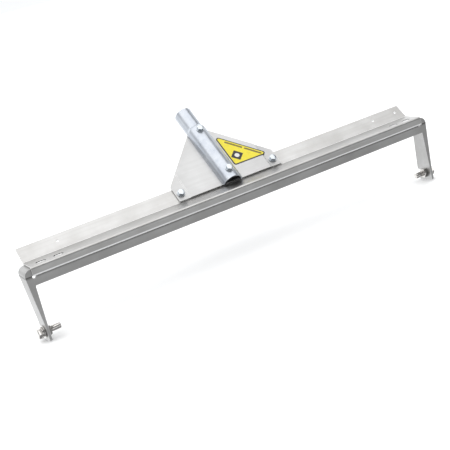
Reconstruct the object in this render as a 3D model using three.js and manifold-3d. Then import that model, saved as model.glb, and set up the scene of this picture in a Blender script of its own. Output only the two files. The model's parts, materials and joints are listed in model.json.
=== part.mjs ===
// Yoke frame for a concrete roller: a bent aluminium yoke with a folded top plate, a bracket plate,
// a steel handle socket and a pair of stub axle bolts that slide in open slots at the arm tips.
// Units are millimetres. X runs along the frame, +Y is towards the user, +Z is up.

import * as THREE from 'three';
import { mergeVertices } from 'three/addons/utils/BufferGeometryUtils.js';
import Module from 'manifold-3d';

const wasm = await Module();
wasm.setup();

// ---------- driving dimensions ----------

const GAP = 0.3; // clearance left between pieces that touch on the real frame
const ARC_STEPS = 3; // half the straight steps in each rounded corner
const SLOT_STEPS = 6; // and in the ends of slots, the corner bends and the relief holes
const ROUND_SIDES = 24; // sides of tubes, washers and holes
const OVERRUN = 5; // how far a cutter runs past the face it cuts
const HOLE_REACH = 30; // half length of a cutter for a hole in the sloping plates

const PLATE_HALF_LENGTH = 464.5; // top plate, 929 mm long
const SHEET = 3.2; // top plate thickness, 1/8 in
const LEDGE_DEPTH = 50.6; // flat top of the frame, front ridge to flange
const LIP_HEIGHT = 17.5; // folded down in front of the yoke
const FLANGE_WIDTH = 36.5; // folded up at the back
const FLANGE_ANGLE = THREE.MathUtils.degToRad(41.5); // also the slope of the handle
const FOLD_RADIUS = 1.6; // inside of the sheet's folds
const SHEET_EDGE = 0.8; // rounding of the sheet's cut edges

const YOKE_FRONT = 4.0; // front face of the yoke, just behind the lip
const YOKE_WIDTH = 44.0; // broad leg of the bent angle
const YOKE_THICKNESS = 5.5;
const LEG_THICKNESS = 4.8; // front leg of the bent angle
const YOKE_TOP = -SHEET - GAP;
const LEG_BOTTOM = -36.8; // lower edge of the front leg between the arms
const ARM_TIP = -150.5; // lower end of the arms
const ARM_KNEE = -118.0; // below this the two arms are parallel
const TIP_HALF_SPAN = 471.5; // outer faces of the parallel arm ends
const SHOULDER_HALF_SPAN = 480.5; // where the leaning outer face would meet the top
const BEND_RADIUS = 13.5; // outside of the corner bends
const LEG_CORNER = 2.0; // rounding where the front leg turns down the arms
const TIP_ROUNDING = 5.0;
const RELIEF_RADIUS = 3.7; // drilled at the corners before bending
const RELIEF_X = 462.0;
const RELIEF_Z = -19.5;

const SLOT_LENGTH = 21.0; // weld slots in the ledge
const SLOT_WIDTH = 11.0;
const SLOT_Y = 19.0;
const SLOT_XS = [402.6, 438.2];
const WELD_DEPTH = 2.0; // weld fill lies this far below the ledge

const ACCESSORY_HOLES = [-384.3, 384.3, 447.0]; // small holes along the flange
const ACCESSORY_HOLE_RADIUS = 2.8;
const ACCESSORY_HOLE_UP = 19.8; // distance up the flange

const BRACKET_SHEET = 3.0;
const BRACKET_HALF_WIDTH = 124.0;
const BRACKET_SIDE = 42.0; // height of the bracket's upright sides
const BRACKET_BOTTOM = 0.6;
const BRACKET_TOP = 151.0;
const BRACKET_TOP_HALF_WIDTH = 22.0;
const BRACKET_CREASE = 99.0; // the middle panel stands a little proud of the wings
const BRACKET_STEP = 1.2;
const BRACKET_STEP_RUN = 2.0;
const PANEL_FACE = GAP + BRACKET_STEP + BRACKET_SHEET; // middle panel's outer face above the flange
const WING_FACE = GAP + BRACKET_SHEET;
const WING_BOLT_X = 112.0;
const WING_BOLT_UP = 18.0;

const SADDLE_RADIUS = 22.2; // half-round lower part of the socket, 1 3/4 in
const TUBE_RADIUS = 19.2; // round upper part of the socket
const SOCKET_WALL = 2.8;
const SOCKET_BOTTOM = -3.0; // distances up the slope
const SADDLE_END = 149.0;
const TUBE_START = 158.0;
const SHOULDER_FLARE = { out: 1.5, up: 4.0 }; // step between saddle and tube is eased by a flare
const SOCKET_STEP = 157.0; // the socket is half round up to here and fully round above
const SOCKET_TOP = 208.5;
const SOCKET_BOLTS = { lower: 18.0, upper: 139.0 };

const BOLT_RADIUS = 3.97; // 5/16 in bolts
const BOLT_HOLE_RADIUS = 4.5;
const BOLT_HEAD = { flats: 12.7, height: 5.4 };
const BOLT_NUT = { flats: 12.7, height: 6.7 };
const BOLT_WASHER = { radius: 8.6, thickness: 1.5 };
const BOLT_LOCK_WASHER = { radius: 7.1, thickness: 2.0 };
const BOLT_TAIL = 2.4; // thread showing past the nut

const HEX_RIM = 0.4; // flat top of a head or nut is this much smaller than its flats
const HEX_CHAMFER = 0.5; // slope of the chamfer, about 27 degrees

const AXLE_RADIUS = 6.35; // 1/2 in stub axle
const AXLE_Y = 25.3; // closed end of the slot
const AXLE_Z = -133.3;
const AXLE_SLOT_HALF_WIDTH = 6.7;
const AXLE_TIP = 438.4; // inner end of the stub
const AXLE_CHAMFER = 1.2;
const AXLE_HEAD = { flats: 19.05, height: 8.0 };
const AXLE_NUT = { flats: 19.05, height: 6.6 };
const AXLE_WASHER = { radius: 12.4, thickness: 2.2 };
const AXLE_LOCK_WASHER = { radius: 10.4, thickness: 3.2 };

const LABEL_THICKNESS = 0.4;
const LABEL_CORNERS = [[28.5, 36.0, 5], [112.0, 36.0, 5], [28.5, 126.0, 5]];

// ---------- materials ----------

const finish = (color, roughness, metalness) => ({ color, roughness, metalness });
const ALUMINIUM = finish(0xc9cacb, 0.38, 0.9);
const ZINC_STEEL = finish(0xb9c1c9, 0.35, 0.95);
const CHROME_STEEL = finish(0xd8d4cf, 0.14, 1.0);
const WELD = finish(0xdededd, 0.3, 0.9);
const YELLOW_VINYL = finish(0xf3e12c, 0.45, 0.0);

// ---------- solids ----------

function toSolid(geometry) {
  const bare = geometry.clone();
  bare.deleteAttribute('normal');
  bare.deleteAttribute('uv');
  const merged = mergeVertices(bare, 1e-4);
  return new wasm.Manifold(new wasm.Mesh({
    numProp: 3,
    vertProperties: new Float32Array(merged.attributes.position.array),
    triVerts: new Uint32Array(merged.index.array),
  }));
}

function toGeometry(solid) {
  const mesh = solid.getMesh();
  const geometry = new THREE.BufferGeometry();
  geometry.setAttribute('position', new THREE.BufferAttribute(mesh.vertProperties, 3));
  geometry.setIndex(new THREE.BufferAttribute(mesh.triVerts, 1));
  geometry.computeVertexNormals();
  return geometry;
}

const subtractAll = (solid, cutters) => cutters.reduce((left, cutter) => left.subtract(cutter), solid);

// Closed outline through corners [x, y, radius], each rounded by its own arc.
function roundedOutline(corners) {
  const shape = new THREE.Shape();
  corners.forEach(([x, y, radius = 0], i) => {
    const corner = new THREE.Vector2(x, y);
    const toward = (j) => {
      const [nx, ny] = corners[(j + corners.length) % corners.length];
      return new THREE.Vector2(nx, ny).sub(corner).normalize();
    };
    const back = toward(i - 1);
    const ahead = toward(i + 1);
    if (radius > 0) {
      const half = Math.acos(back.dot(ahead)) / 2;
      const centre = back.clone().add(ahead).normalize().multiplyScalar(radius / Math.sin(half)).add(corner);
      const cut = radius / Math.tan(half);
      const from = corner.clone().addScaledVector(back, cut).sub(centre);
      const to = corner.clone().addScaledVector(ahead, cut).sub(centre);
      const clockwise = back.cross(ahead) > 0;
      shape.absarc(centre.x, centre.y, radius, from.angle(), to.angle(), clockwise);
    } else if (i === 0) {
      shape.moveTo(x, y);
    } else {
      shape.lineTo(x, y);
    }
  });
  shape.closePath();
  return shape;
}

function circle(x, y, radius) {
  return new THREE.Shape().absarc(x, y, radius, 0, 2 * Math.PI, false);
}

const extrude = (shape, depth, steps = ARC_STEPS) =>
  new THREE.ExtrudeGeometry(shape, { depth, bevelEnabled: false, curveSegments: steps });

// Outline drawn in X and Z, filling y0 to y1.
function alongY(shape, y0, y1, steps) {
  return toSolid(extrude(shape, y1 - y0, steps).rotateX(Math.PI / 2).translate(0, y1, 0));
}

// Outline drawn in Y and Z, filling x0 to x1.
function alongX(shape, x0, x1, steps) {
  const turn = new THREE.Matrix4().makeBasis(
    new THREE.Vector3(0, 1, 0), new THREE.Vector3(0, 0, 1), new THREE.Vector3(1, 0, 0));
  return toSolid(extrude(shape, x1 - x0, steps).applyMatrix4(turn).translate(x0, 0, 0));
}

// Outline drawn in X and Y, filling z0 to z1.
function alongZ(shape, z0, z1, steps) {
  return toSolid(extrude(shape, z1 - z0, steps).translate(0, 0, z0));
}

const rod = (x, y, radius, z0, z1) => alongZ(circle(x, y, radius), z0, z1, ROUND_SIDES / 2);

// Regular hexagon standing on z0 and rising (or hanging) to z1, where its corners are chamfered.
function hexagon(flats, z0, z1) {
  const corner = flats / Math.sqrt(3);
  const points = [...Array(6).keys()].map((k) => {
    const angle = (k + 0.5) * Math.PI / 3;
    return [corner * Math.cos(angle), corner * Math.sin(angle)];
  });
  const height = Math.abs(z1 - z0);
  const rim = flats / 2 - HEX_RIM;
  const drop = (corner + 1 - rim) * HEX_CHAMFER;
  const bell = new THREE.LatheGeometry([
    [0, 0], [corner + 1, 0], [corner + 1, height - drop], [rim, height], [0, height],
  ].map(([radius, z]) => new THREE.Vector2(radius, z)), ROUND_SIDES);
  bell.rotateX(Math.PI / 2 * Math.sign(z1 - z0)).translate(0, 0, z0);
  return alongZ(roundedOutline(points), Math.min(z0, z1), Math.max(z0, z1)).intersect(toSolid(bell));
}

// Distances up the flange and out from its face, turned into the frame's Y and Z.
const slope = new THREE.Matrix4().makeTranslation(0, LEDGE_DEPTH, 0)
  .multiply(new THREE.Matrix4().makeRotationX(FLANGE_ANGLE));

const onSlope = (geometry) => toSolid(geometry.applyMatrix4(slope));

const slopeHole = (x, up, radius) =>
  onSlope(extrude(circle(x, up, radius), 2 * HOLE_REACH, ROUND_SIDES / 2).translate(0, 0, -HOLE_REACH));

// ---------- the frame ----------

function obround(x, y, length, width) {
  const radius = width / 2;
  const reach = length / 2 - radius;
  const shape = new THREE.Shape();
  shape.absarc(x + reach, y, radius, -Math.PI / 2, Math.PI / 2, false);
  shape.absarc(x - reach, y, radius, Math.PI / 2, 1.5 * Math.PI, false);
  return shape;
}

const weldPlaces = [-1, 1].flatMap((side) => SLOT_XS.map((x) => side * x));

const slopeBoltPlaces = [
  [-WING_BOLT_X, WING_BOLT_UP], [WING_BOLT_X, WING_BOLT_UP], [0, SOCKET_BOLTS.lower],
];

function topPlate() {
  const outward = [-Math.sin(FLANGE_ANGLE), Math.cos(FLANGE_ANGLE)];
  const edge = [LEDGE_DEPTH + FLANGE_WIDTH * Math.cos(FLANGE_ANGLE), FLANGE_WIDTH * Math.sin(FLANGE_ANGLE)];
  const under = LEDGE_DEPTH + SHEET * Math.tan(FLANGE_ANGLE / 2);
  const profile = roundedOutline([
    [0, -LIP_HEIGHT, SHEET_EDGE],
    [SHEET, -LIP_HEIGHT, SHEET_EDGE],
    [SHEET, -SHEET, FOLD_RADIUS],
    [under, -SHEET, FOLD_RADIUS + SHEET],
    [edge[0] - SHEET * outward[0], edge[1] - SHEET * outward[1], SHEET_EDGE],
    [edge[0], edge[1], SHEET_EDGE],
    [LEDGE_DEPTH, 0, FOLD_RADIUS],
    [0, 0, FOLD_RADIUS + SHEET],
  ].reverse());
  const slots = weldPlaces.map((x) =>
    alongZ(obround(x, SLOT_Y, SLOT_LENGTH, SLOT_WIDTH), -HOLE_REACH, HOLE_REACH, SLOT_STEPS));
  const holes = [
    ...ACCESSORY_HOLES.map((x) => slopeHole(x, ACCESSORY_HOLE_UP, ACCESSORY_HOLE_RADIUS)),
    ...slopeBoltPlaces.map(([x, up]) => slopeHole(x, up, BOLT_HOLE_RADIUS)),
  ];
  return subtractAll(alongX(profile, -PLATE_HALF_LENGTH, PLATE_HALF_LENGTH), [...slots, ...holes]);
}

function slotWeld(x) {
  const inset = 2 * GAP;
  return alongZ(obround(x, SLOT_Y, SLOT_LENGTH - inset, SLOT_WIDTH - inset), -SHEET, -WELD_DEPTH, SLOT_STEPS);
}

// Upright doorway outline: parallel feet, leaning sides and a rounded top, in X and Z.
function doorway(tip, shoulder, foot, top, radius) {
  return roundedOutline([
    [-tip, foot], [tip, foot], [tip, ARM_KNEE, 1], [shoulder, top, radius],
    [-shoulder, top, radius], [-tip, ARM_KNEE, 1],
  ]);
}

function yokeFrame() {
  const back = YOKE_FRONT + YOKE_WIDTH;
  const legBack = YOKE_FRONT + LEG_THICKNESS;
  const innerTip = TIP_HALF_SPAN - YOKE_THICKNESS;
  const innerShoulder = SHOULDER_HALF_SPAN - YOKE_THICKNESS;
  const outside = doorway(TIP_HALF_SPAN, SHOULDER_HALF_SPAN, ARM_TIP, YOKE_TOP, BEND_RADIUS);
  const inside = doorway(innerTip, innerShoulder, ARM_TIP - OVERRUN, YOKE_TOP - YOKE_THICKNESS,
    BEND_RADIUS - YOKE_THICKNESS);
  const legOpening = roundedOutline([
    [-innerTip, ARM_TIP - OVERRUN], [innerTip, ARM_TIP - OVERRUN], [innerTip, ARM_KNEE],
    [PLATE_HALF_LENGTH, LEG_BOTTOM, LEG_CORNER], [-PLATE_HALF_LENGTH, LEG_BOTTOM, LEG_CORNER],
    [-innerTip, ARM_KNEE],
  ]);
  const reliefs = [-RELIEF_X, RELIEF_X].map((x) =>
    alongY(circle(x, RELIEF_Z, RELIEF_RADIUS), YOKE_FRONT - OVERRUN, legBack + OVERRUN, SLOT_STEPS));
  const bent = subtractAll(alongY(outside, YOKE_FRONT, back, SLOT_STEPS), [
    alongY(inside, legBack, back + OVERRUN, SLOT_STEPS),
    alongY(legOpening, YOKE_FRONT - OVERRUN, back + OVERRUN),
    ...reliefs,
  ]);
  return bent.intersect(alongX(armSide(back), -SHOULDER_HALF_SPAN, SHOULDER_HALF_SPAN, SLOT_STEPS));
}

// Side view of an arm in Y and Z: rounded tip, and a slot for the axle that is open at the back edge.
function armSide(back) {
  const tipCentre = ARM_TIP + TIP_ROUNDING;
  const shape = new THREE.Shape();
  shape.moveTo(back, OVERRUN);
  shape.lineTo(YOKE_FRONT, OVERRUN);
  shape.absarc(YOKE_FRONT + TIP_ROUNDING, tipCentre, TIP_ROUNDING, Math.PI, 1.5 * Math.PI, false);
  shape.absarc(back - TIP_ROUNDING, tipCentre, TIP_ROUNDING, -Math.PI / 2, 0, false);
  shape.lineTo(back, AXLE_Z - AXLE_SLOT_HALF_WIDTH);
  shape.absarc(AXLE_Y, AXLE_Z, AXLE_SLOT_HALF_WIDTH, 1.5 * Math.PI, 0.5 * Math.PI, true);
  shape.lineTo(back, AXLE_Z + AXLE_SLOT_HALF_WIDTH);
  shape.closePath();
  return shape;
}

// ---------- the bracket and its socket, in the flange's own plane ----------

function bracketPlate() {
  const outline = roundedOutline([
    [-BRACKET_HALF_WIDTH, BRACKET_BOTTOM], [BRACKET_HALF_WIDTH, BRACKET_BOTTOM],
    [BRACKET_HALF_WIDTH, BRACKET_SIDE, 4], [BRACKET_TOP_HALF_WIDTH, BRACKET_TOP, 3],
    [-BRACKET_TOP_HALF_WIDTH, BRACKET_TOP, 3], [-BRACKET_HALF_WIDTH, BRACKET_SIDE, 4],
  ]);
  const end = BRACKET_HALF_WIDTH + OVERRUN;
  const crease = [BRACKET_CREASE, BRACKET_CREASE - BRACKET_STEP_RUN];
  const right = [
    [crease[1], GAP + BRACKET_STEP, 0.5], [crease[0], GAP, 0.5], [end, GAP],
    [end, WING_FACE], [crease[0], WING_FACE, 0.5], [crease[1], PANEL_FACE, 0.5],
  ];
  const left = right.map(([x, height, radius]) => [-x, height, radius]).reverse();
  const section = alongY(roundedOutline([...right, ...left]), -OVERRUN, BRACKET_TOP + OVERRUN, 1);
  const blank = alongZ(outline, -OVERRUN, PANEL_FACE + OVERRUN);
  const holes = [...slopeBoltPlaces, [0, SOCKET_BOLTS.upper]]
    .map(([x, up]) => rod(x, up, BOLT_HOLE_RADIUS, -HOLE_REACH, HOLE_REACH));
  return subtractAll(blank.intersect(section), holes);
}

function handleSocket() {
  const flareUp = SADDLE_END + SHOULDER_FLARE.up;
  const outer = [
    [SADDLE_RADIUS, SOCKET_BOTTOM], [SADDLE_RADIUS, SADDLE_END],
    [TUBE_RADIUS + SHOULDER_FLARE.out, flareUp], [TUBE_RADIUS, TUBE_START], [TUBE_RADIUS, SOCKET_TOP],
  ];
  const inner = outer.map(([radius, up]) => [radius - SOCKET_WALL, up]).reverse();
  const profile = [...outer, ...inner, outer[0]].map(([radius, up]) => new THREE.Vector2(radius, up));
  const axisHeight = PANEL_FACE + GAP;
  const turned = toSolid(new THREE.LatheGeometry(profile, ROUND_SIDES).translate(0, 0, axisHeight));
  const lowerHalf = toSolid(new THREE.BoxGeometry(4 * SADDLE_RADIUS, 2 * SOCKET_STEP, 2 * HOLE_REACH)
    .translate(0, 0, axisHeight - HOLE_REACH));
  const holes = Object.values(SOCKET_BOLTS)
    .map((up) => rod(0, up, BOLT_HOLE_RADIUS, axisHeight + OVERRUN, SADDLE_RADIUS + HOLE_REACH));
  return subtractAll(turned, [lowerHalf, ...holes]);
}

function label() {
  return alongZ(roundedOutline(LABEL_CORNERS), PANEL_FACE + GAP, PANEL_FACE + GAP + LABEL_THICKNESS);
}

const ring = (outer, inner, z0, z1) => rod(0, 0, outer, z0, z1).subtract(rod(0, 0, inner, z0 - 1, z1 + 1));

const nutBody = (nut, bore, z0, z1) =>
  hexagon(nut.flats, z0, z1).subtract(rod(0, 0, bore, Math.min(z0, z1) - 1, Math.max(z0, z1) + 1));

// A 5/16 in bolt set whose washer bears on z = face and whose nut hangs below z = behind.
function boltSet(name, x, up, face, behind) {
  const bore = BOLT_RADIUS + GAP;
  const washerTop = face + GAP + BOLT_WASHER.thickness;
  const lockTop = behind - GAP;
  const lockBottom = lockTop - BOLT_LOCK_WASHER.thickness;
  const nutTop = lockBottom - GAP;
  const nutBottom = nutTop - BOLT_NUT.height;
  const head = washerTop + GAP;
  const pieces = [
    ['bolt', hexagon(BOLT_HEAD.flats, head, head + BOLT_HEAD.height)
      .add(rod(0, 0, BOLT_RADIUS, nutBottom - BOLT_TAIL, head + 1))],
    ['washer', ring(BOLT_WASHER.radius, bore, face + GAP, washerTop)],
    ['lock_washer', ring(BOLT_LOCK_WASHER.radius, bore, lockBottom, lockTop)],
    ['nut', nutBody(BOLT_NUT, bore, nutTop, nutBottom)],
  ];
  return pieces.map(([piece, solid]) => part(name.replace('*', piece), solid, ZINC_STEEL, [x, up, 0]));
}

// ---------- the stub axles, built along +Z from the arm's inner face and then laid along X ----------

function axlePieces() {
  const bore = AXLE_RADIUS + GAP;
  const armOuter = -YOKE_THICKNESS;
  const washerOuter = armOuter - GAP - AXLE_WASHER.thickness;
  const lockOuter = washerOuter - GAP - AXLE_LOCK_WASHER.thickness;
  const headInner = lockOuter - GAP;
  const tip = TIP_HALF_SPAN - YOKE_THICKNESS - AXLE_TIP;
  const shank = new THREE.LatheGeometry([
    [0, headInner - 1], [AXLE_RADIUS, headInner - 1], [AXLE_RADIUS, tip - AXLE_CHAMFER],
    [AXLE_RADIUS - AXLE_CHAMFER, tip], [0, tip],
  ].map(([radius, z]) => new THREE.Vector2(radius, z)), ROUND_SIDES).rotateX(Math.PI / 2);
  return [
    ['bolt', hexagon(AXLE_HEAD.flats, headInner, headInner - AXLE_HEAD.height).add(toSolid(shank))],
    ['lock_washer', ring(AXLE_LOCK_WASHER.radius, bore, lockOuter, lockOuter + AXLE_LOCK_WASHER.thickness)],
    ['washer', ring(AXLE_WASHER.radius, bore, washerOuter, washerOuter + AXLE_WASHER.thickness)],
    ['nut', nutBody(AXLE_NUT, bore, GAP, GAP + AXLE_NUT.height)],
  ];
}

// ---------- assembly ----------

function part(name, solid, look, place = [0, 0, 0]) {
  const mesh = new THREE.Mesh(toGeometry(solid), new THREE.MeshStandardMaterial(look));
  mesh.name = name;
  mesh.position.set(...place);
  return mesh;
}

function buildBracket() {
  const group = new THREE.Group();
  group.position.y = LEDGE_DEPTH;
  group.rotation.x = FLANGE_ANGLE;
  const crown = PANEL_FACE + GAP + SADDLE_RADIUS;
  group.add(
    part('bracket_plate', bracketPlate(), ALUMINIUM),
    part('handle_socket', handleSocket(), ZINC_STEEL),
    part('label', label(), YELLOW_VINYL),
    ...boltSet('left_bracket_*', -WING_BOLT_X, WING_BOLT_UP, WING_FACE, -SHEET),
    ...boltSet('right_bracket_*', WING_BOLT_X, WING_BOLT_UP, WING_FACE, -SHEET),
    ...boltSet('lower_socket_*', 0, SOCKET_BOLTS.lower, crown, -SHEET),
    ...boltSet('upper_socket_*', 0, SOCKET_BOLTS.upper, crown, GAP + BRACKET_STEP),
  );
  return group;
}

function buildAxle(side) {
  const group = new THREE.Group();
  const inward = side === 'left' ? 1 : -1;
  group.position.set(-inward * (TIP_HALF_SPAN - YOKE_THICKNESS), AXLE_Y, AXLE_Z);
  group.rotation.y = inward * Math.PI / 2;
  group.add(...axlePieces().map(([piece, solid]) => part(`${side}_axle_${piece}`, solid, CHROME_STEEL)));
  return group;
}

const weldNames = ['left_inner_weld', 'left_outer_weld', 'right_inner_weld', 'right_outer_weld'];

const frame = new THREE.Group();
frame.add(
  part('top_plate', topPlate(), ALUMINIUM),
  part('yoke_frame', yokeFrame(), ALUMINIUM),
  ...weldPlaces.map((x, i) => part(weldNames[i], slotWeld(x), WELD)),
  buildBracket(),
  buildAxle('left'),
  buildAxle('right'),
);

// The origin is on the ground plane, under the middle of the whole frame.
const box = new THREE.Box3().setFromObject(frame);
const middle = box.getCenter(new THREE.Vector3());
frame.position.set(-middle.x, -middle.y, -box.min.z);

const tool = new THREE.Group();
tool.add(frame);

export default tool;
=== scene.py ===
"""Looks for a concrete roller frame: aluminium yoke and top plate, bracket, handle socket, stub axles."""

import json
import math

import bmesh
import bpy
from mathutils import Matrix, Vector, noise

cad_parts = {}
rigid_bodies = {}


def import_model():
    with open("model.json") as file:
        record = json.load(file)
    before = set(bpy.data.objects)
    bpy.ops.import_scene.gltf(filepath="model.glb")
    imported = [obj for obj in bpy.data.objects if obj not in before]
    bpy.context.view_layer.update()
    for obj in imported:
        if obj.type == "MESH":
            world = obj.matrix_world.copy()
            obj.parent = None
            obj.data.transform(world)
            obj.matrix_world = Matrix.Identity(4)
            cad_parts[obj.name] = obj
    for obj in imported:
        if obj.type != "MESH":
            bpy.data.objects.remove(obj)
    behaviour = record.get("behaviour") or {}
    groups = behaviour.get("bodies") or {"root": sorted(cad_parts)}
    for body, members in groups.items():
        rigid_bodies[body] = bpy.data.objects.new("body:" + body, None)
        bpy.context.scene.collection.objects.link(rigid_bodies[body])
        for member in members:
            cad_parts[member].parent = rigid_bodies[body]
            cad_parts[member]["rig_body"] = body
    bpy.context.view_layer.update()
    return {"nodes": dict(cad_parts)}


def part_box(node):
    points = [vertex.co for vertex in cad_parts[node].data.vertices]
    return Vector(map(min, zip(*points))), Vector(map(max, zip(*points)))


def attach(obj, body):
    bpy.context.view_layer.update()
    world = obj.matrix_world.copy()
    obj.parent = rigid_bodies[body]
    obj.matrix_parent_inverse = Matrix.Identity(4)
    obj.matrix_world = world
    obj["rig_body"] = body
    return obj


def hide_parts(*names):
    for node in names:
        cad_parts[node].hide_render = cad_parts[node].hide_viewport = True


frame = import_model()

MM = 0.001

# ---------- places taken from the frame ----------

SHEET = 3.2 * MM
LIP_HEIGHT = 17.5 * MM
LEDGE_DEPTH = 50.6 * MM
DECK_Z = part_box("left_inner_weld")[0].z + SHEET  # top of the ledge
RIDGE_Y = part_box("top_plate")[0].y  # front face of the lip
LIP_FOOT = DECK_Z - LIP_HEIGHT
SLOPE_ANGLE = math.radians(41.5)
UP_SLOPE = Vector((0, math.cos(SLOPE_ANGLE), math.sin(SLOPE_ANGLE)))
OUT = Vector((0, -math.sin(SLOPE_ANGLE), math.cos(SLOPE_ANGLE)))
FLANGE_FOOT = Vector((0, RIDGE_Y + LEDGE_DEPTH, DECK_Z))


def middle(node):
    low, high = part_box(node)
    return (low + high) / 2


def on_slope(x, up, out):
    """A point given by its distance along the frame, up the slope and out from the flange."""
    return FLANGE_FOOT + Vector((x, 0, 0)) + UP_SLOPE * up + OUT * out


def slope_frame(origin):
    """Local X along the frame, Y up the slope, Z out of it."""
    return Matrix.Translation(origin) @ Matrix.Rotation(SLOPE_ANGLE, 4, "X")


# ---------- shader nodes ----------

class Shader:
    """A material whose nodes are added by short calls; inputs take a number, a colour or a socket."""

    def __init__(self, name):
        self.material = bpy.data.materials.new(name)
        self.material.use_nodes = True
        self.tree = self.material.node_tree
        self.surface = self.tree.nodes["Principled BSDF"]
        self.place = self.add("ShaderNodeTexCoord").outputs["Object"]

    def add(self, kind, inputs=None, **settings):
        node = self.tree.nodes.new(kind)
        for key, value in settings.items():
            setattr(node, key, value)
        for key, value in (inputs or {}).items():
            self.put(node.inputs[key], value)
        return node

    def put(self, socket, value):
        if isinstance(value, bpy.types.NodeSocket):
            self.tree.links.new(value, socket)
        else:
            socket.default_value = value

    def set(self, **inputs):
        for key, value in inputs.items():
            self.put(self.surface.inputs[key.replace("_", " ")], value)

    def noise(self, scale, stretch=(1, 1, 1), turn=(0, 0, 0), detail=3.0, rough=0.55, distortion=0.0):
        """Noise of scale features per metre; a small stretch along an axis draws lines that way."""
        place = self.add("ShaderNodeMapping", {"Vector": self.place, "Rotation": turn, "Scale": stretch})
        return self.add("ShaderNodeTexNoise", {
            "Vector": place.outputs[0], "Scale": scale, "Detail": detail,
            "Roughness": rough, "Distortion": distortion}).outputs["Fac"]

    def span(self, value, low, high, to_low, to_high):
        return self.add("ShaderNodeMapRange", {
            "Value": value, "From Min": low, "From Max": high,
            "To Min": to_low, "To Max": to_high}).outputs["Result"]

    def math(self, operation, a, b):
        return self.add("ShaderNodeMath", {0: a, 1: b}, operation=operation).outputs[0]

    def height(self):
        return self.add("ShaderNodeSeparateXYZ", {0: self.place}).outputs["Z"]

    def blend(self, factor, a, b):
        node = self.add("ShaderNodeMix", data_type="RGBA")
        self.put(node.inputs["Factor"], factor)
        self.put(node.inputs["A"], a)
        self.put(node.inputs["B"], b)
        return node.outputs["Result"]

    def bump(self, height, strength, distance):
        return self.add("ShaderNodeBump", {
            "Height": height, "Strength": strength, "Distance": distance}).outputs["Normal"]


def grey(value, warmth=0.0):
    """A near-neutral colour; warmth above nought leans to yellow, below to blue."""
    return (value * (1 + warmth), value, value * (1 - 1.6 * warmth), 1)


def rolled_aluminium(name, light, dark, low_rough, high_rough, hatch, grime_and_painted_shade=0.0, rub_and_painted_highlight=0.0):
    """Mill-finish sheet: fine lines along X, cloudy patches, soft scuffs and a faint slanting hatch.

    Of its last two arguments, the first sets how dark the painted shade is in the corner under the lip,
    and the second how bright the painted highlight is on the lowest strip of the lip."""
    s = Shader(name)
    lines = s.noise(1.0, stretch=(5, 900, 900), detail=4)
    streaks = s.noise(1.0, stretch=(2.2, 150, 150), detail=3)
    clouds = s.noise(11, detail=4, rough=0.6)
    scuffs = s.noise(1.0, stretch=(26, 420, 420), turn=(0, 0.5, 0.9), detail=2, distortion=0.6)
    slant = s.noise(1.0, stretch=(900, 900, 40), turn=(0, math.radians(38), 0), detail=2)
    patch = s.span(clouds, 0.35, 0.68, 0.0, 1.0)
    base = s.blend(patch, dark, light)
    base = s.blend(s.span(streaks, 0.38, 0.66, 0.0, 0.55), base, dark)
    base = s.blend(s.span(scuffs, 0.66, 0.78, 0.0, 0.5), base, light)
    height = s.height()
    # painted shade: darkens a band up to 5 mm below the lip's foot, deepest at the foot, where the lip shades
    # the corner
    corner = s.math("MULTIPLY", s.span(height, LIP_FOOT - 5 * MM, LIP_FOOT - 0.5 * MM, 0.0, grime_and_painted_shade),
                    s.span(height, LIP_FOOT + 0.5 * MM, LIP_FOOT + MM, 1.0, 0.0))
    base = s.blend(s.math("MULTIPLY", corner, s.span(clouds, 0.3, 0.7, 0.7, 1.0)), base, grey(0.06, 0.04))
    # painted highlight: lightens the lip's lowest strip, about 3 mm tall, where its lower edge catches the
    # light
    foot = s.math("MULTIPLY", s.span(height, LIP_FOOT + 2.6 * MM, LIP_FOOT + 3.2 * MM, rub_and_painted_highlight, 0.0),
                  s.span(height, LIP_FOOT - MM, LIP_FOOT - 0.5 * MM, 0.0, 1.0))
    base = s.blend(s.math("MULTIPLY", foot, s.span(clouds, 0.3, 0.7, 1.0, 0.8)), base, grey(0.97))
    wear = s.math("ADD", s.span(lines, 0.3, 0.7, 0.0, 0.5), s.span(clouds, 0.3, 0.7, 0.5, 0.0))
    relief = s.math("ADD", lines, s.math("MULTIPLY", slant, hatch))
    s.set(Base_Color=base, Metallic=1.0, Roughness=s.span(wear, 0.0, 1.0, low_rough, high_rough),
          Normal=s.bump(relief, 0.22, 0.00012))
    return s.material


def bright_edge(name, colour, roughness, metallic):
    """Edges of a metal piece rubbed smooth by handling, their colour lightened as a painted highlight."""
    s = Shader(name)
    nicks = s.noise(240, detail=3)
    rub_and_painted_highlight = s.noise(30, detail=2)
    s.set(Base_Color=s.blend(s.span(rub_and_painted_highlight, 0.35, 0.65, 0.0, 1.0), grey(colour * 0.86, 0.01), grey(colour)),
          Metallic=metallic, Roughness=s.span(nicks, 0.3, 0.7, roughness, roughness + 0.14),
          Normal=s.bump(nicks, 0.2, 0.0001))
    return s.material


def zinc_plate(name, light, dark, roughness, grain):
    """Plated steel: bluish, softly clouded, with a fine grain."""
    s = Shader(name)
    clouds = s.noise(38, detail=4, rough=0.6)
    cells = s.add("ShaderNodeTexVoronoi", {"Vector": s.place, "Scale": grain}).outputs["Color"]
    tone = s.add("ShaderNodeRGBToBW", {"Color": cells}).outputs[0]
    fine = s.noise(1500, detail=2)
    mixed = s.math("ADD", s.span(clouds, 0.32, 0.68, 0.0, 0.75), s.math("MULTIPLY", tone, 0.25))
    s.set(Base_Color=s.blend(mixed, dark, light), Metallic=1.0,
          Roughness=s.span(clouds, 0.3, 0.7, roughness, roughness + 0.12),
          Normal=s.bump(fine, 0.12, 0.0001))
    return s.material


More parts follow.
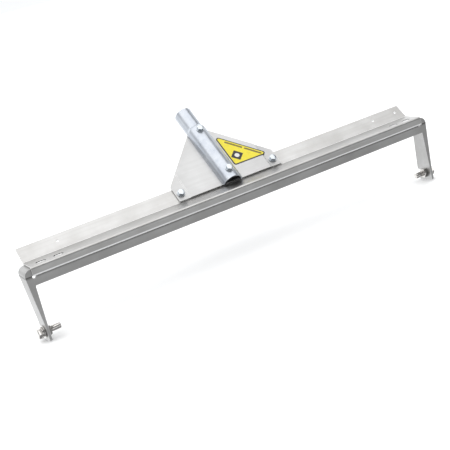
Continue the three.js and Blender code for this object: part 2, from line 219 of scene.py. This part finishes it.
def bright_plate(name, colour, roughness):
    """Polished plated steel with faint turning marks around X and a few dull specks."""
    s = Shader(name)
    rings = s.noise(1.0, stretch=(2600, 60, 60), detail=2)
    specks = s.noise(420, detail=3)
    s.set(Base_Color=s.blend(s.span(specks, 0.55, 0.75, 0.0, 1.0), colour, grey(0.5, 0.03)), Metallic=1.0,
          Roughness=s.span(specks, 0.45, 0.8, roughness, roughness + 0.2),
          Normal=s.bump(rings, 0.06, 0.0001))
    return s.material


def weld_metal(name):
    """Aluminium weld: bright crests, sooty hollows, and painted shade, near black, where it lies deep in its
    slot.
    """
    s = Shader(name)
    blobs = s.noise(520, detail=4, rough=0.65)
    soot = s.noise(160, detail=3)
    base = s.blend(s.span(soot, 0.5, 0.72, 0.0, 0.8), grey(0.9), grey(0.35, 0.05))
    # painted shade: the bead darkens from a millimetre below the deck and is near black by 1.9 mm
    base = s.blend(s.span(s.height(), DECK_Z - 1.9 * MM, DECK_Z - MM, 1.0, 0.0), base, grey(0.04))
    s.set(Base_Color=base, Metallic=0.6, Roughness=s.span(blobs, 0.3, 0.7, 0.22, 0.42),
          Normal=s.bump(blobs, 0.5, 0.0004))
    return s.material


def vinyl(name, colour, dirt):
    """Printed sticker film, glossy, with a little dirt and orange peel."""
    s = Shader(name)
    grime_and_painted_shade = s.noise(55, detail=5, rough=0.7)
    peel = s.noise(900, detail=1)
    s.set(Base_Color=s.blend(s.span(grime_and_painted_shade, 0.56, 0.8, 0.0, 0.45), colour, dirt),
          Roughness=s.span(grime_and_painted_shade, 0.3, 0.7, 0.24, 0.36), Normal=s.bump(peel, 0.08, 0.0001))
    return s.material


# the sheet carries the painted highlight along the lip's lowest strip
SHEET_METAL = rolled_aluminium("sheet_aluminium", grey(0.55, 0.006), grey(0.44, 0.016), 0.3, 0.42, 0.5,
                               rub_and_painted_highlight=1.0)
BRACKET_METAL = rolled_aluminium("bracket_aluminium", grey(0.55), grey(0.48, 0.004), 0.36, 0.48, 0.2)
# the yoke carries the painted shade under the lip
YOKE_METAL = rolled_aluminium("yoke_aluminium", grey(0.47, 0.006), grey(0.36, 0.012), 0.3, 0.42, 0.35,
                              grime_and_painted_shade=1.0)
# Edge finishes, lighter than the faces they border: rubbed edges with a painted highlight
SHEET_EDGE = bright_edge("sheet_edges", 0.95, 0.3, 0.2)
YOKE_EDGE = bright_edge("yoke_edges", 0.72, 0.25, 0.8)
SOCKET_METAL = zinc_plate("socket_zinc", (0.56, 0.585, 0.62, 1), (0.4, 0.43, 0.48, 1), 0.26, 260)
BOLT_METAL = zinc_plate("fastener_zinc", (0.66, 0.68, 0.7, 1), (0.48, 0.52, 0.56, 1), 0.16, 700)
AXLE_METAL = bright_plate("axle_plate", (0.62, 0.6, 0.58, 1), 0.05)
WELD_METAL = weld_metal("weld_aluminium")
YELLOW = vinyl("label_yellow", (0.92, 0.78, 0.025, 1), (0.55, 0.43, 0.03, 1))
BLACK = vinyl("label_black", (0.012, 0.012, 0.012, 1), (0.06, 0.055, 0.05, 1))
OLIVE = vinyl("label_print", (0.2, 0.15, 0.02, 1), (0.3, 0.24, 0.03, 1))
WHITE = vinyl("label_white", (0.86, 0.86, 0.84, 1), (0.5, 0.49, 0.45, 1))

# ---------- meshes ----------

SOFT_ANGLE = 35  # degrees; a sharper edge is shaded as an edge
CRISP_ANGLE = 32  # the same for pieces made of plain cuts
FLAT_ANGLE = 0.4  # CAD faces that meet more flatly than this are one face
NARROW = 1.1 * MM  # CAD faces narrower than this are worn edges, lightened as a painted highlight


def new_object(name, bm, *materials, smooth=SOFT_ANGLE):
    """A mesh object from bm, smooth but for its edges sharper than smooth degrees."""
    bmesh.ops.recalc_face_normals(bm, faces=bm.faces)
    mesh = bpy.data.meshes.new(name)
    bm.to_mesh(mesh)
    bm.free()
    for material in materials:
        mesh.materials.append(material)
    mesh.shade_smooth()
    mesh.set_sharp_from_angle(angle=math.radians(smooth))
    obj = bpy.data.objects.new(name, mesh)
    bpy.context.scene.collection.objects.link(obj)
    return obj


def bevel(obj, width, segments=2, edge_material=-1, clamp=True):
    """Rounds the edges of obj; clamp keeps the rounding from running past its neighbours."""
    mod = obj.modifiers.new("bevel", "BEVEL")
    mod.width = width
    mod.segments = segments
    mod.limit_method = "ANGLE"
    mod.angle_limit = math.radians(CRISP_ANGLE)
    mod.material = edge_material
    mod.harden_normals = True
    mod.use_clamp_overlap = clamp
    return obj


def stand_for(obj, node):
    """obj is shown in place of a CAD node and moves with its body."""
    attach(obj, frame["nodes"][node]["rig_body"])
    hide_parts(node)
    return obj


def refined(node, material, edge, width, weld):
    """A copy of a CAD node with points nearer than weld joined, flat faces merged and edges rounded."""
    bm = bmesh.new()
    bm.from_mesh(frame["nodes"][node].data)
    bmesh.ops.remove_doubles(bm, verts=bm.verts, dist=weld)
    bmesh.ops.dissolve_limit(bm, angle_limit=math.radians(FLAT_ANGLE), verts=bm.verts, edges=bm.edges)
    for face in bm.faces:
        longest = max(side.calc_length() for side in face.edges)
        face.material_index = 1 if face.calc_area() < NARROW * longest else 0
    obj = new_object(f"{node}_fine", bm, material, edge)
    return stand_for(bevel(obj, width, 3, edge_material=1, clamp=False), node)


def lathe(bm, profile, sides=48, start=0.0, turn=2 * math.pi):
    """Turns a closed profile of (radius, z) points about Z; a part turn is closed by its two end faces."""
    whole = turn > 2 * math.pi - 1e-6
    count = sides if whole else sides + 1
    rings = []
    for k in range(count):
        angle = start + turn * k / sides
        rings.append([bm.verts.new((r * math.cos(angle), r * math.sin(angle), z)) for r, z in profile])
    for k in range(sides):
        a, b = rings[k], rings[(k + 1) % count]
        for i in range(len(profile)):
            j = (i + 1) % len(profile)
            bm.faces.new((a[i], b[i], b[j], a[j]))
    if not whole:
        bm.faces.new(rings[0])
        bm.faces.new(list(reversed(rings[-1])))
    bmesh.ops.remove_doubles(bm, verts=bm.verts, dist=1e-7)
    return rings


def cut(obj, tool, operation="DIFFERENCE"):
    """Applies one boolean to obj and throws the tool away."""
    mod = obj.modifiers.new("cut", "BOOLEAN")
    mod.operation = operation
    mod.object = tool
    mod.solver = "EXACT"
    graph = bpy.context.evaluated_depsgraph_get()
    done = bpy.data.meshes.new_from_object(obj.evaluated_get(graph))
    obj.modifiers.remove(mod)
    old = obj.data
    obj.data = done
    done.name = old.name
    bpy.data.meshes.remove(old)
    bpy.data.objects.remove(tool)
    obj.data.shade_smooth()
    obj.data.set_sharp_from_angle(angle=math.radians(CRISP_ANGLE))
    return obj


def box_tool(low, high):
    """A box to cut with."""
    bm = bmesh.new()
    bmesh.ops.create_cube(bm, size=1)
    size = Vector(high) - Vector(low)
    bmesh.ops.scale(bm, vec=size, verts=bm.verts)
    bmesh.ops.translate(bm, vec=(Vector(low) + Vector(high)) / 2, verts=bm.verts)
    return new_object("tool", bm)


def rod_tool(radius, low, high, sides=48, at=(0, 0)):
    """A round rod along Z to cut with."""
    bm = bmesh.new()
    lathe(bm, [(0, low), (radius, low), (radius, high), (0, high)], sides)
    bmesh.ops.translate(bm, vec=(*at, 0), verts=bm.verts)
    return new_object("tool", bm)


# ---------- fasteners, built about Z with the head at the top ----------

def hexagon(name, flats, low, high, crown, foot, *materials):
    """Hexagonal block whose corners are turned off by crown at the top and by foot at the bottom."""
    bm = bmesh.new()
    corner = flats / math.sqrt(3)
    rim = [(corner * math.cos(math.radians(60 * k + 30)), corner * math.sin(math.radians(60 * k + 30)))
           for k in range(6)]
    bottom = [bm.verts.new((x, y, low)) for x, y in rim]
    top = [bm.verts.new((x, y, high)) for x, y in rim]
    bm.faces.new(bottom)
    bm.faces.new(top)
    for k in range(6):
        bm.faces.new((bottom[k], bottom[(k + 1) % 6], top[(k + 1) % 6], top[k]))
    obj = new_object(name, bm, *materials)
    bm = bmesh.new()
    flat = flats / 2 * 0.95
    past = corner * 1.2
    lathe(bm, [(0, low), (flat, low), (past, low + (past - flat) * foot),
               (past, high - (past - flat) * crown), (flat, high), (0, high)], 96)
    return cut(obj, new_object("tool", bm), "INTERSECT")


def thread(bm, radius, depth, pitch, low, high, sides=36):
    """Screw thread: a V-shaped ridge that climbs one pitch a turn, with plain round ends."""
    steps = max(4, round((high - low) / pitch * 6))
    rings = []
    for i in range(steps + 1):
        z = low + (high - low) * i / steps
        ring = []
        for k in range(sides):
            phase = (z / pitch - k / sides) % 1
            ridge = 1 - abs(2 * phase - 1)
            fade = min(1, (i + 0.5) / 4, (steps - i + 0.5) / 4)
            r = radius - depth * (1 - ridge * fade)
            ring.append(bm.verts.new((r * math.cos(2 * math.pi * k / sides),
                                      r * math.sin(2 * math.pi * k / sides), z)))
        rings.append(ring)
    for a, b in zip(rings, rings[1:]):
        for k in range(sides):
            bm.faces.new((a[k], a[(k + 1) % sides], b[(k + 1) % sides], b[k]))
    bm.faces.new(rings[0])
    bm.faces.new(rings[-1])


def plain_washer(name, outer, inner, low, high, material):
    bm = bmesh.new()
    lathe(bm, [(inner, low), (outer, low), (outer, high), (inner, high)], 72)
    return bevel(new_object(name, bm, material), 0.3 * (high - low), 3)


def split_washer(name, outer, inner, low, high, material):
    """Spring washer: a square wire wound just short of one turn, so that its ends stand apart."""
    bm = bmesh.new()
    sides = 64
    gap = math.radians(9)
    lift = (high - low) * 0.12
    wire = (high - low) - lift
    rings = []
    for k in range(sides + 1):
        t = k / sides
        angle = gap / 2 + (2 * math.pi - gap) * t
        z = low + lift * t
        rings.append([bm.verts.new((r * math.cos(angle), r * math.sin(angle), z + h))
                      for r, h in ((inner, 0), (outer, 0), (outer, wire), (inner, wire))])
    for a, b in zip(rings, rings[1:]):
        for i in range(4):
            bm.faces.new((a[i], a[(i + 1) % 4], b[(i + 1) % 4], b[i]))
    bm.faces.new(rings[0])
    bm.faces.new(rings[-1])
    return bevel(new_object(name, bm, material), 0.12 * (high - low), 2)


def join(name, parts, material):
    """Makes one object of several that overlap or touch."""
    bm = bmesh.new()
    for part in parts:
        graph = bpy.context.evaluated_depsgraph_get()
        mesh = part.evaluated_get(graph).to_mesh()
        bm.from_mesh(mesh)
        part.to_mesh_clear()
        bpy.data.objects.remove(part)
    return new_object(name, bm, material, smooth=CRISP_ANGLE)


def bolt(name, head, shank, pitch, low, high, plain_low, material):
    """Hexagon bolt: head is (flats, height), its underside at high, threaded from low up to plain_low."""
    flats, height = head
    block = hexagon("head", flats, high, high + height, 0.5, 0.0, material)
    bevel(block, 0.25 * MM, 2)
    collar_bm = bmesh.new()
    lathe(collar_bm, [(0, plain_low), (shank, plain_low), (shank, high + MM), (0, high + MM)], 48)
    collar = new_object("collar", collar_bm, material)
    screw_bm = bmesh.new()
    thread(screw_bm, shank, 0.55 * pitch, pitch, low, plain_low + 0.1 * MM)
    return join(name, [block, collar, new_object("screw", screw_bm, material)], material)


def nut(name, flats, bore, low, high, material):
    block = hexagon(name, flats, low, high, 0.5, 0.5, material)
    cut(block, rod_tool(bore, low - MM, high + MM, 64))
    return bevel(block, 0.22 * MM, 2)


# ---------- the pieces ----------

def top_plate():
    refined("top_plate", SHEET_METAL, SHEET_EDGE, 0.3 * MM, 0.1 * MM)


def yoke_frame():
    refined("yoke_frame", YOKE_METAL, YOKE_EDGE, 0.4 * MM, 0.3 * MM)


def bracket_plate():
    refined("bracket_plate", BRACKET_METAL, SHEET_EDGE, 0.3 * MM, 0.1 * MM)


def weld_bead(node, seed):
    """Slot weld: a domed bead laid in overlapping ripples along the slot."""
    low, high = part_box(node)
    centre = (low + high) / 2
    half = (high - low) / 2
    crown = DECK_Z - 0.5 * MM - low.z
    rows, columns = 14, 56
    bm = bmesh.new()
    grid = []
    for i in range(columns + 1):
        x = -half.x + 2 * half.x * i / columns
        straight = max(0.0, abs(x) - (half.x - half.y))
        reach = math.sqrt(max(0.0, half.y ** 2 - straight ** 2)) or 1e-5
        column = []
        for j in range(rows + 1):
            y = reach * (2 * j / rows - 1)
            across = y / half.y
            dome = 0.92 - 0.62 * across ** 2 - 0.5 * (straight / half.y) ** 2
            ripple = 0.06 * math.sin(2 * math.pi * (x / (2.6 * MM) + 0.3 * across ** 2) + seed)
            rough = 0.06 * noise.noise(Vector((x, y, seed)) * 500)
            top = low.z + crown * min(1.0, max(0.1, dome + ripple + rough))
            column.append((bm.verts.new((centre.x + x, centre.y + y, top)),
                           bm.verts.new((centre.x + x, centre.y + y, low.z))))
        grid.append(column)
    for a, b in zip(grid, grid[1:]):
        for j in range(rows):
            bm.faces.new((a[j][0], b[j][0], b[j + 1][0], a[j + 1][0]))
            bm.faces.new((a[j][1], a[j + 1][1], b[j + 1][1], b[j][1]))
        for j in (0, rows):
            bm.faces.new((a[j][0], a[j][1], b[j][1], b[j][0]))
    for column in (grid[0], grid[-1]):
        for j in range(rows):
            bm.faces.new((column[j][0], column[j + 1][0], column[j + 1][1], column[j][1]))
    bmesh.ops.remove_doubles(bm, verts=bm.verts, dist=2e-6)
    stand_for(new_object(f"{node}_bead", bm, WELD_METAL, smooth=70), node)


SADDLE_RADIUS = 22.2 * MM
TUBE_RADIUS = 19.2 * MM
SOCKET_WALL = 2.8 * MM
SOCKET_AXIS_OUT = 4.8 * MM
SADDLE_END = 149 * MM  # where the saddle starts to narrow to the round tube
TUBE_START = 158 * MM
SOCKET_HOLE_RADIUS = 4.5 * MM
SHOULDER_STEPS = 10
SOCKET_REACH = [(v.co - FLANGE_FOOT).dot(UP_SLOPE) for v in frame["nodes"]["handle_socket"].data.vertices]


def handle_socket():
    """Steel tube, half round on the bracket and round above it, with an eased shoulder between."""
    def radius(up):
        t = min(1.0, max(0.0, (up - SADDLE_END) / (TUBE_START - SADDLE_END)))
        return SADDLE_RADIUS + (TUBE_RADIUS - SADDLE_RADIUS) * t * t * (3 - 2 * t)

    shoulder = [SADDLE_END + (TUBE_START - SADDLE_END) * k / SHOULDER_STEPS
                for k in range(SHOULDER_STEPS + 1)]
    outer = [(radius(up), up) for up in (min(SOCKET_REACH), *shoulder, max(SOCKET_REACH))]
    bm = bmesh.new()
    lathe(bm, outer + [(r - SOCKET_WALL, up) for r, up in reversed(outer)], 128)
    tube = new_object("handle_socket_fine", bm, SOCKET_METAL)
    tube.data.transform(Matrix.Rotation(math.radians(-90), 4, "X"))
    past = 40 * MM
    cut(tube, box_tool((-past, -past, -past), (past, TUBE_START - MM, 0)))
    for bolt_set in ("lower_socket", "upper_socket"):
        up = (middle(f"{bolt_set}_washer") - FLANGE_FOOT).dot(UP_SLOPE)
        cut(tube, rod_tool(SOCKET_HOLE_RADIUS, 10 * MM, past, at=(0, up)))
    tube.data.transform(slope_frame(on_slope(0, 0, SOCKET_AXIS_OUT)))
    stand_for(bevel(tube, 0.5 * MM, 3), "handle_socket")


SLOPE_FLATS, SLOPE_HEAD, SLOPE_SHANK, SLOPE_PITCH = 12.7 * MM, 5.4 * MM, 3.97 * MM, 1.41 * MM
SLOPE_BORE, SLOPE_WASHER, SLOPE_LOCK = 4.27 * MM, 8.6 * MM, 7.1 * MM


def slope_fasteners():
    """The four 5/16 in bolt sets, set out from their washers."""
    washer, lock, nut_height, tail, gap = 1.5 * MM, 2.0 * MM, 6.7 * MM, 2.4 * MM, 0.3 * MM
    for name in ("left_bracket", "right_bracket", "lower_socket", "upper_socket"):
        seat = middle(f"{name}_washer")
        below = (seat - middle(f"{name}_lock_washer")).dot(OUT)
        place = slope_frame(seat)
        lock_low = -below - lock / 2
        nut_high = lock_low - gap
        nut_low = nut_high - nut_height
        high = washer / 2 + gap
        made = {
            "bolt": bolt(f"{name}_bolt_fine", (SLOPE_FLATS, SLOPE_HEAD), SLOPE_SHANK, SLOPE_PITCH,
                         nut_low - tail, high, nut_high, BOLT_METAL),
            "washer": plain_washer(f"{name}_washer_fine", SLOPE_WASHER, SLOPE_BORE, -washer / 2, washer / 2,
                                   BOLT_METAL),
            "lock_washer": split_washer(f"{name}_lock_washer_fine", SLOPE_LOCK, SLOPE_BORE, lock_low,
                                        lock_low + lock, BOLT_METAL),
            "nut": nut(f"{name}_nut_fine", SLOPE_FLATS, SLOPE_BORE, nut_low, nut_high, BOLT_METAL),
        }
        for piece, obj in made.items():
            obj.data.transform(place)
            stand_for(obj, f"{name}_{piece}")


AXLE_FLATS, AXLE_HEAD, AXLE_SHANK, AXLE_PITCH = 19.05 * MM, 8 * MM, 6.35 * MM, 1.95 * MM
AXLE_BORE, AXLE_WASHER, AXLE_LOCK, AXLE_CHAMFER = 6.65 * MM, 12.4 * MM, 10.4 * MM, 1.2 * MM


def stub_axle(side, outward):
    """A 1/2 in stub axle, built with its head at +Z and then laid along X, head outwards."""
    centre = middle(f"{side}_axle_washer")

    def along(piece):
        ends = sorted(outward * corner.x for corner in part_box(f"{side}_axle_{piece}"))
        return [end - outward * centre.x for end in ends]

    bolt_low, bolt_high = along("bolt")
    nut_low, nut_high = along("nut")
    head_low = bolt_high - AXLE_HEAD
    plain_end = nut_low - 1.5 * MM
    pin_bm = bmesh.new()
    lathe(pin_bm, [(0, bolt_low), (AXLE_SHANK - AXLE_CHAMFER, bolt_low),
                   (AXLE_SHANK, bolt_low + AXLE_CHAMFER), (AXLE_SHANK, plain_end), (0, plain_end)], 96)
    screw_bm = bmesh.new()
    thread(screw_bm, AXLE_SHANK, MM, AXLE_PITCH, plain_end - 0.1 * MM, head_low + 0.5 * MM, 48)
    head = bevel(hexagon("head", AXLE_FLATS, head_low, bolt_high, 0.5, 0.0, AXLE_METAL), 0.4 * MM, 3)
    pieces = [bevel(new_object("pin", pin_bm, AXLE_METAL), 0.2 * MM, 2),
              new_object("screw", screw_bm, AXLE_METAL), head]
    name = f"{side}_axle"
    made = {
        "bolt": join(f"{name}_bolt_fine", pieces, AXLE_METAL),
        "lock_washer": split_washer(f"{name}_lock_washer_fine", AXLE_LOCK, AXLE_BORE,
                                    *along("lock_washer"), AXLE_METAL),
        "washer": plain_washer(f"{name}_washer_fine", AXLE_WASHER, AXLE_BORE, *along("washer"), AXLE_METAL),
        "nut": nut(f"{name}_nut_fine", AXLE_FLATS, AXLE_BORE, nut_low, nut_high, AXLE_METAL),
    }
    place = Matrix.Translation(centre) @ Matrix.Rotation(outward * math.radians(90), 4, "Y")
    for piece, obj in made.items():
        obj.data.transform(place)
        stand_for(obj, f"{name}_{piece}")


def corners(points):
    """Each corner of an outline, the ways back and ahead from it, and half the angle between them."""
    for i, corner in enumerate(points):
        corner = Vector(corner)
        back = (Vector(points[i - 1]) - corner).normalized()
        ahead = (Vector(points[(i + 1) % len(points)]) - corner).normalized()
        yield corner, back, ahead, back.angle(ahead) / 2


def rounded(points, radius, steps=8):
    """Points of an outline with each corner rounded by an arc."""
    out = []
    for corner, back, ahead, half in corners(points):
        centre = corner + (back + ahead).normalized() * (radius / math.sin(half))
        start = corner + back * (radius / math.tan(half)) - centre
        end = corner + ahead * (radius / math.tan(half)) - centre
        sweep = start.angle_signed(end)
        for k in range(steps + 1):
            angle = -sweep * k / steps
            out.append(centre + Matrix.Rotation(angle, 2) @ start)
    return out


def film(name, outline, low, high, material):
    """A thin flat piece on the bracket's panel, from an outline in X and up the slope."""
    bm = bmesh.new()
    base = [bm.verts.new((p[0], p[1], low)) for p in outline]
    top = [bm.verts.new((p[0], p[1], high)) for p in outline]
    bm.faces.new(base)
    bm.faces.new(top)
    count = len(outline)
    for k in range(count):
        bm.faces.new((base[k], base[(k + 1) % count], top[(k + 1) % count], top[k]))
    obj = new_object(name, bm, material)
    obj.data.transform(slope_frame(FLANGE_FOOT))
    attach(obj, "frame")
    return obj


LABEL_FACE = 4.8 * MM  # front of the bracket's panel, out from the flange
LABEL_CORNERS = [(28.5 * MM, 36 * MM), (112 * MM, 36 * MM), (28.5 * MM, 126 * MM)]
LABEL_BORDER = 2.3 * MM
BAR_NEAR, BAR_FAR = 5.0 * MM, 9.6 * MM  # from the label's long edge
BAR_SPANS = ((13 * MM, 52 * MM), (56 * MM, 96 * MM))  # along it, from its lower corner
BADGE_CENTRE = Vector((47 * MM, 58 * MM))
BADGE_HALF = 10.4 * MM
DOT_RADIUS, DOT_SIDES = 5.4 * MM, 40


def inset(points, distance):
    """Corners of a triangle moved in by distance from every side."""
    return [corner + (back + ahead).normalized() * (distance / math.sin(half))
            for corner, back, ahead, half in corners(points)]


def label():
    """Yellow sticker with a thin black border, two plain bars along its long edge and a plain badge."""
    base = film("label_border", rounded(LABEL_CORNERS, 5 * MM), LABEL_FACE, LABEL_FACE + 0.3 * MM, BLACK)
    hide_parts("label")
    film("label_face", rounded(inset(LABEL_CORNERS, LABEL_BORDER), 3.0 * MM),
         LABEL_FACE + 0.2 * MM, LABEL_FACE + 0.34 * MM, YELLOW)
    low, high = LABEL_FACE + 0.3 * MM, LABEL_FACE + 0.37 * MM
    right, top = Vector(LABEL_CORNERS[1]), Vector(LABEL_CORNERS[2])
    along = (top - right).normalized()
    inward = Vector((-along.y, along.x))
    if inward.dot(Vector(LABEL_CORNERS[0]) - right) < 0:
        inward = -inward
    near, far = right + inward * BAR_NEAR, right + inward * BAR_FAR
    for k, (start, end) in enumerate(BAR_SPANS):
        film(f"label_band_{k}", rounded([near + along * start, near + along * end,
                                         far + along * end, far + along * start], 1.6 * MM), low, high, OLIVE)
    square = [BADGE_CENTRE + along * a * BADGE_HALF + inward * b * BADGE_HALF
              for a, b in ((-1, -1), (1, -1), (1, 1), (-1, 1))]
    film("label_badge", rounded(square, 1.2 * MM), low, high, BLACK)
    dot = [BADGE_CENTRE + Vector((math.cos(a), math.sin(a))) * DOT_RADIUS
           for a in (2 * math.pi * k / DOT_SIDES for k in range(DOT_SIDES))]
    film("label_dot", dot, high - 0.02 * MM, high + 0.03 * MM, WHITE)


# ---------- stage, lights and camera ----------

FLOOR_HALF_SIZE = 60
FLOOR_GLOW = 0.16
HORIZON, FRONT_SKY, BACK_SKY, TOP_SKY = 1.0, 0.25, 1.6, 0.35
FRONT_LEFT, FRONT_RIGHT, BACK_BELOW, UNDER = 0.9, 0.62, 1.5, 0.3
LAMP_SPREAD, LAMP_ENERGY, LAMP_AIM = math.radians(90), 2.3, Vector((0.08, 0.04, -1))
AZIMUTH, ELEVATION, ROLL = math.radians(24.394), math.radians(-15.744), math.radians(-14.949)
LENS, SENSOR, FAR_CLIP = 76.96, 36, 60
EYE = Vector((-0.83576, RIDGE_Y - 1.70369, DECK_Z + 0.46385))


def stage():
    """Pale floor that glows a little and is left out of reflections, where the sky stands in for it."""
    bm = bmesh.new()
    bmesh.ops.create_grid(bm, x_segments=2, y_segments=2, size=FLOOR_HALF_SIZE)
    floor = new_object("floor", bm)
    s = Shader("floor_paint")
    tone = s.noise(3, detail=2)
    s.set(Base_Color=s.blend(tone, grey(0.9), grey(0.93)), Roughness=0.8,
          Emission_Color=grey(1.0), Emission_Strength=FLOOR_GLOW)
    floor.data.materials.append(s.material)
    floor.visible_glossy = False


def soft_sky():
    """A sky that is bright behind the object and dull in front of it, both above and below the horizon."""
    world = bpy.data.worlds.new("studio")
    world.use_nodes = True
    bpy.context.scene.world = world
    tree = world.node_tree

    def span(value, low, high, to_low, to_high):
        node = tree.nodes.new("ShaderNodeMapRange")
        node.interpolation_type = "SMOOTHSTEP"
        for key, number in (("From Min", low), ("From Max", high), ("To Min", to_low), ("To Max", to_high)):
            node.inputs[key].default_value = number
        tree.links.new(value, node.inputs["Value"])
        return node.outputs["Result"]

    def blend(factor, a, b):
        node = tree.nodes.new("ShaderNodeMix")
        tree.links.new(factor, node.inputs["Factor"])
        for key, value in (("A", a), ("B", b)):
            if isinstance(value, float):
                node.inputs[key].default_value = value
            else:
                tree.links.new(value, node.inputs[key])
        return node.outputs["Result"]

    axes = tree.nodes.new("ShaderNodeSeparateXYZ")
    tree.links.new(tree.nodes.new("ShaderNodeTexCoord").outputs["Generated"], axes.inputs[0])
    x, y, z = (axes.outputs[axis] for axis in "XYZ")
    above = blend(span(z, 0.55, 0.8, 0.0, 1.0), span(y, 0.0, 0.7, FRONT_SKY, BACK_SKY), TOP_SKY)
    front = blend(span(z, -0.65, -0.4, 1.0, 0.0), span(x, 0.1, 0.65, FRONT_LEFT, FRONT_RIGHT), UNDER)
    below = blend(span(y, -0.1, 0.35, 0.0, 1.0), front, BACK_BELOW)
    upper = blend(span(z, 0.04, 0.16, 0.0, 1.0), HORIZON, above)
    whole = blend(span(z, -0.08, 0.0, 0.0, 1.0), below, upper)
    background = tree.nodes["Background"]
    background.inputs["Color"].default_value = (0.97, 0.985, 1.0, 1)
    tree.links.new(whole, background.inputs["Strength"])


def lights():
    """The sky and one wide overhead lamp."""
    soft_sky()
    lamp = bpy.data.lights.new("overhead", "SUN")
    lamp.angle = LAMP_SPREAD
    lamp.energy = LAMP_ENERGY
    obj = bpy.data.objects.new("overhead", lamp)
    bpy.context.scene.collection.objects.link(obj)
    obj.rotation_euler = LAMP_AIM.to_track_quat("-Z", "Y").to_euler()


def camera():
    ahead = Vector((math.sin(AZIMUTH) * math.cos(ELEVATION), math.cos(AZIMUTH) * math.cos(ELEVATION),
                    math.sin(ELEVATION)))
    data = bpy.data.cameras.new("camera")
    data.lens = LENS
    data.sensor_width = SENSOR
    data.clip_end = FAR_CLIP
    obj = bpy.data.objects.new("camera", data)
    bpy.context.scene.collection.objects.link(obj)
    turn = ahead.to_track_quat("-Z", "Y").to_matrix().to_4x4() @ Matrix.Rotation(ROLL, 4, "Z")
    obj.matrix_world = Matrix.Translation(EYE) @ turn
    bpy.context.scene.camera = obj


camera()
top_plate()
yoke_frame()
bracket_plate()
handle_socket()
for index, place in enumerate(("left_inner", "left_outer", "right_inner", "right_outer")):
    weld_bead(f"{place}_weld", 1.3 * index)
slope_fasteners()
stub_axle("left", -1)
stub_axle("right", 1)
label()
stage()
lights()
bpy.context.scene.view_settings.view_transform = "Standard"

bpy.context.view_layer.update()
